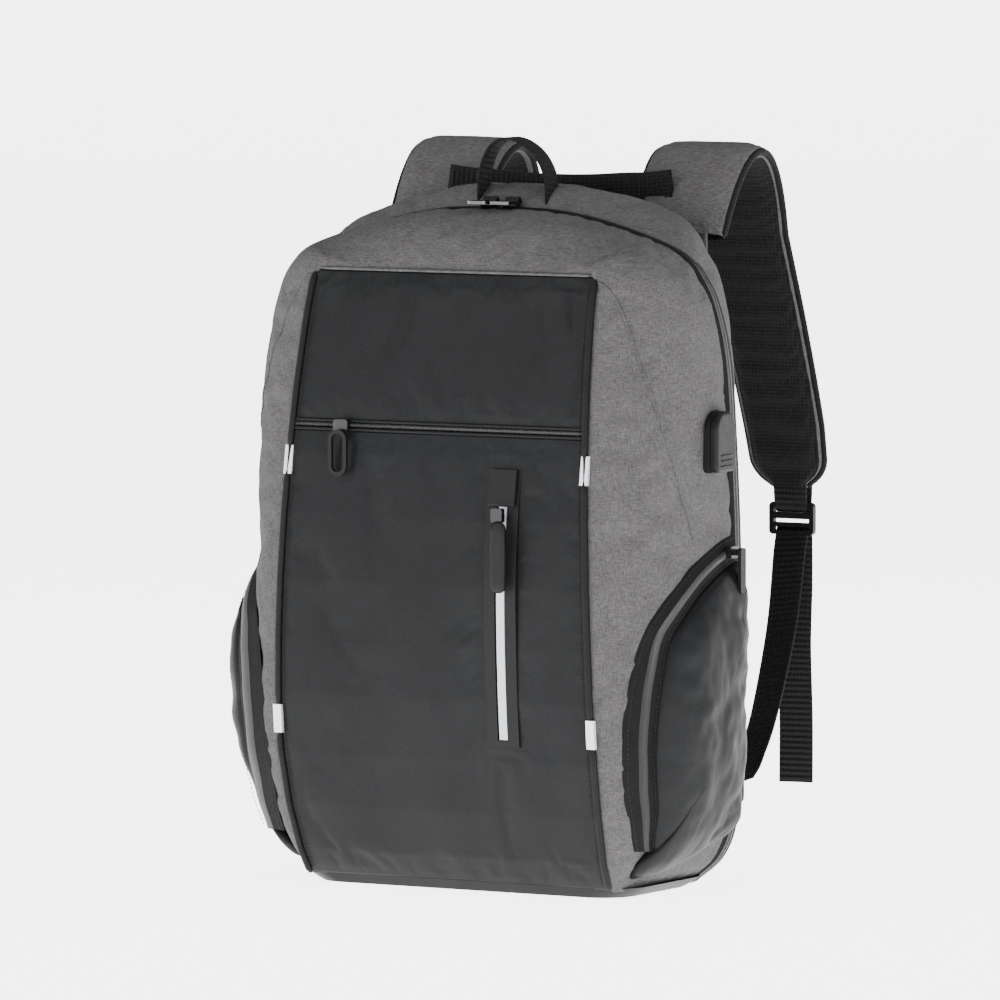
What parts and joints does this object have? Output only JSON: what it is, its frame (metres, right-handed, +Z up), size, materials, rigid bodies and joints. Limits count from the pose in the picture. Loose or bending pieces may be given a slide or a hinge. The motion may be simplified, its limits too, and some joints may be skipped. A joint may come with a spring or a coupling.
{
  "type": "laptop backpack",
  "caption": "Laptop backpack with coated front panel, heather gussets, curved side pockets, phone pocket, USB outlet, padded straps and hang loop.",
  "frame": {"origin": "centre of the underside of the base, between the front and the back of the bag", "axes": "+Z up along the bag's height, -Y out of the front panel, +X to the side with the USB outlet"},
  "size_m": [0.3604, 0.2951, 0.4978],
  "materials": {
    "coated_fabric": "fine coated weave, low sheen",
    "heather_fabric": "heather twill",
    "piping": "corded",
    "reflective": "retroreflective tape",
    "zip_tape": "nylon coil zip on woven tape",
    "reflective_zip": "coil zip with a reflective stripe each side",
    "moulded_rubber": "satin moulded",
    "polished_metal": "black polished",
    "dark_metal": "black enamelled",
    "bright_metal": "plated",
    "mesh_fabric": "spacer mesh over foam",
    "lining": "plain weave lining",
    "webbing": "ribbed woven webbing",
    "buckle_plastic": "acetal"
  },
  "bodies": {
    "bag": {"base_panel": "coated_fabric", "front_lower_panel": "coated_fabric", "front_upper_panel": "coated_fabric", "gusset_left": "heather_fabric", "gusset_right": "heather_fabric", "main_zip_front": "zip_tape", "piping_left": "piping", "piping_right": "piping", "pocket_welt": "moulded_rubber", "pocket_zip_chain": "reflective_zip", "reflective_tab_lower_left": "reflective", "reflective_tab_lower_right": "reflective", "reflective_tab_upper_left": "reflective", "reflective_tab_upper_right": "reflective", "side_pouch_left": "coated_fabric", "side_pouch_right": "coated_fabric", "side_zip_left": "zip_tape", "side_zip_right": "zip_tape", "slash_zip_chain": "zip_tape", "top_hood": "heather_fabric", "usb_housing": "moulded_rubber", "usb_socket": "bright_metal", "zip_garage": "moulded_rubber"},
    "back_half": {"rear_gusset": "heather_fabric", "back_panel": "mesh_fabric", "back_pad_left": "mesh_fabric", "back_pad_right": "mesh_fabric", "laptop_sleeve": "lining", "strap_yoke": "heather_fabric", "strap_root_left": "heather_fabric", "strap_root_right": "heather_fabric", "lower_anchor_left": "coated_fabric", "lower_anchor_right": "coated_fabric", "carry_handle": "webbing", "hang_loop": "webbing", "main_zip_rear": "zip_tape"},
    "main_slider_left": {"main_slider_left": "dark_metal"},
    "main_slider_right": {"main_slider_right": "dark_metal"},
    "ring_pull_left": {"ring_pull_round": "polished_metal"},
    "ring_pull_right": {"ring_pull_square": "polished_metal"},
    "slash_slider": {"slash_slider": "dark_metal"},
    "slash_pull": {"slash_pull": "moulded_rubber"},
    "pocket_slider": {"pocket_slider": "dark_metal"},
    "pocket_pull": {"pocket_pull": "moulded_rubber"},
    "usb_cover": {"usb_cover": "moulded_rubber"},
    "side_slider_left": {"side_slider_left": "dark_metal"},
    "side_pull_left": {"side_pull_left": "moulded_rubber"},
    "strap_left": {"strap_pad_left": "heather_fabric", "strap_mesh_left": "mesh_fabric", "ladder_lock_left": "buckle_plastic", "lower_web_left": "webbing"},
    "tail_left": {"tail_web_left": "webbing"},
    "side_slider_right": {"side_slider_right": "dark_metal"},
    "side_pull_right": {"side_pull_right": "moulded_rubber"},
    "strap_right": {"strap_pad_right": "heather_fabric", "strap_mesh_right": "mesh_fabric", "ladder_lock_right": "buckle_plastic", "lower_web_right": "webbing"},
    "tail_right": {"tail_web_right": "webbing"}
  },
  "joints": [
    {"name": "main_opening", "type": "hinge", "parent": "bag", "child": "back_half", "pos_m": [0, 0.055, 0], "axis": [-1, 0, 0], "range_deg": [0, 60]},
    {"name": "main_zip_left", "type": "slide", "parent": "bag", "child": "main_slider_left", "axis": [-1, 0, 0], "range_m": [0, 0.045]},
    {"name": "ring_pull_left", "type": "hinge", "parent": "main_slider_left", "child": "ring_pull_left", "pos_m": [-0.0085, 0.0012, 0.4555], "axis": [-1, 0, 0], "range_deg": [0, 95]},
    {"name": "main_zip_right", "type": "slide", "parent": "bag", "child": "main_slider_right", "axis": [1, 0, 0], "range_m": [0, 0.045]},
    {"name": "ring_pull_right", "type": "hinge", "parent": "main_slider_right", "child": "ring_pull_right", "pos_m": [0.0085, 0.0012, 0.4555], "axis": [-1, 0, 0], "range_deg": [0, 95]},
    {"name": "slash_zip", "type": "slide", "parent": "bag", "child": "slash_slider", "axis": [1, 0, 0], "range_m": [0, 0.105]},
    {"name": "slash_pull", "type": "hinge", "parent": "slash_slider", "child": "slash_pull", "pos_m": [-0.0715, -0.087, 0.305], "axis": [-1, 0, 0], "range_deg": [0, 100]},
    {"name": "pocket_zip", "type": "slide", "parent": "bag", "child": "pocket_slider", "axis": [0, 0, -1], "range_m": [0, 0.128]},
    {"name": "pocket_pull", "type": "hinge", "parent": "pocket_slider", "child": "pocket_pull", "pos_m": [0.053, -0.0951, 0.249], "axis": [-1, 0, 0], "range_deg": [0, 100]},
    {"name": "side_zip_left", "type": "hinge", "parent": "bag", "child": "side_slider_left", "pos_m": [-0.17, 0.04, 0.118], "axis": [1, 0, 0], "range_deg": [0, 40]},
    {"name": "side_pull_left", "type": "hinge", "parent": "side_slider_left", "child": "side_pull_left", "pos_m": [-0.179, 0.01305, 0.22974], "axis": [0, 1, 0], "range_deg": [0, 90]},
    {"name": "side_zip_right", "type": "hinge", "parent": "bag", "child": "side_slider_right", "pos_m": [0.17, 0.04, 0.118], "axis": [1, 0, 0], "range_deg": [0, 40]},
    {"name": "side_pull_right", "type": "hinge", "parent": "side_slider_right", "child": "side_pull_right", "pos_m": [0.179, 0.01305, 0.22974], "axis": [0, -1, 0], "range_deg": [0, 90]},
    {"name": "usb_cover", "type": "hinge", "parent": "bag", "child": "usb_cover", "pos_m": [0.1702, 0, 0.3216], "axis": [0, -1, 0], "range_deg": [0, 110]},
    {"name": "strap_swing_left", "type": "hinge", "parent": "back_half", "child": "strap_left", "pos_m": [-0.092, 0.112, 0.4918], "axis": [1, 0, 0], "range_deg": [0, 14], "deforming": ["lower_web_left"]},
    {"name": "tail_swing_left", "type": "hinge", "parent": "strap_left", "child": "tail_left", "pos_m": [-0.12, 0.1955, 0.225], "axis": [1, 0, 0], "range_deg": [-15, 60]},
    {"name": "strap_swing_right", "type": "hinge", "parent": "back_half", "child": "strap_right", "pos_m": [0.092, 0.112, 0.4918], "axis": [1, 0, 0], "range_deg": [0, 14], "deforming": ["lower_web_right"]},
    {"name": "tail_swing_right", "type": "hinge", "parent": "strap_right", "child": "tail_right", "pos_m": [0.12, 0.1955, 0.225], "axis": [1, 0, 0], "range_deg": [-15, 60]}
  ]
}
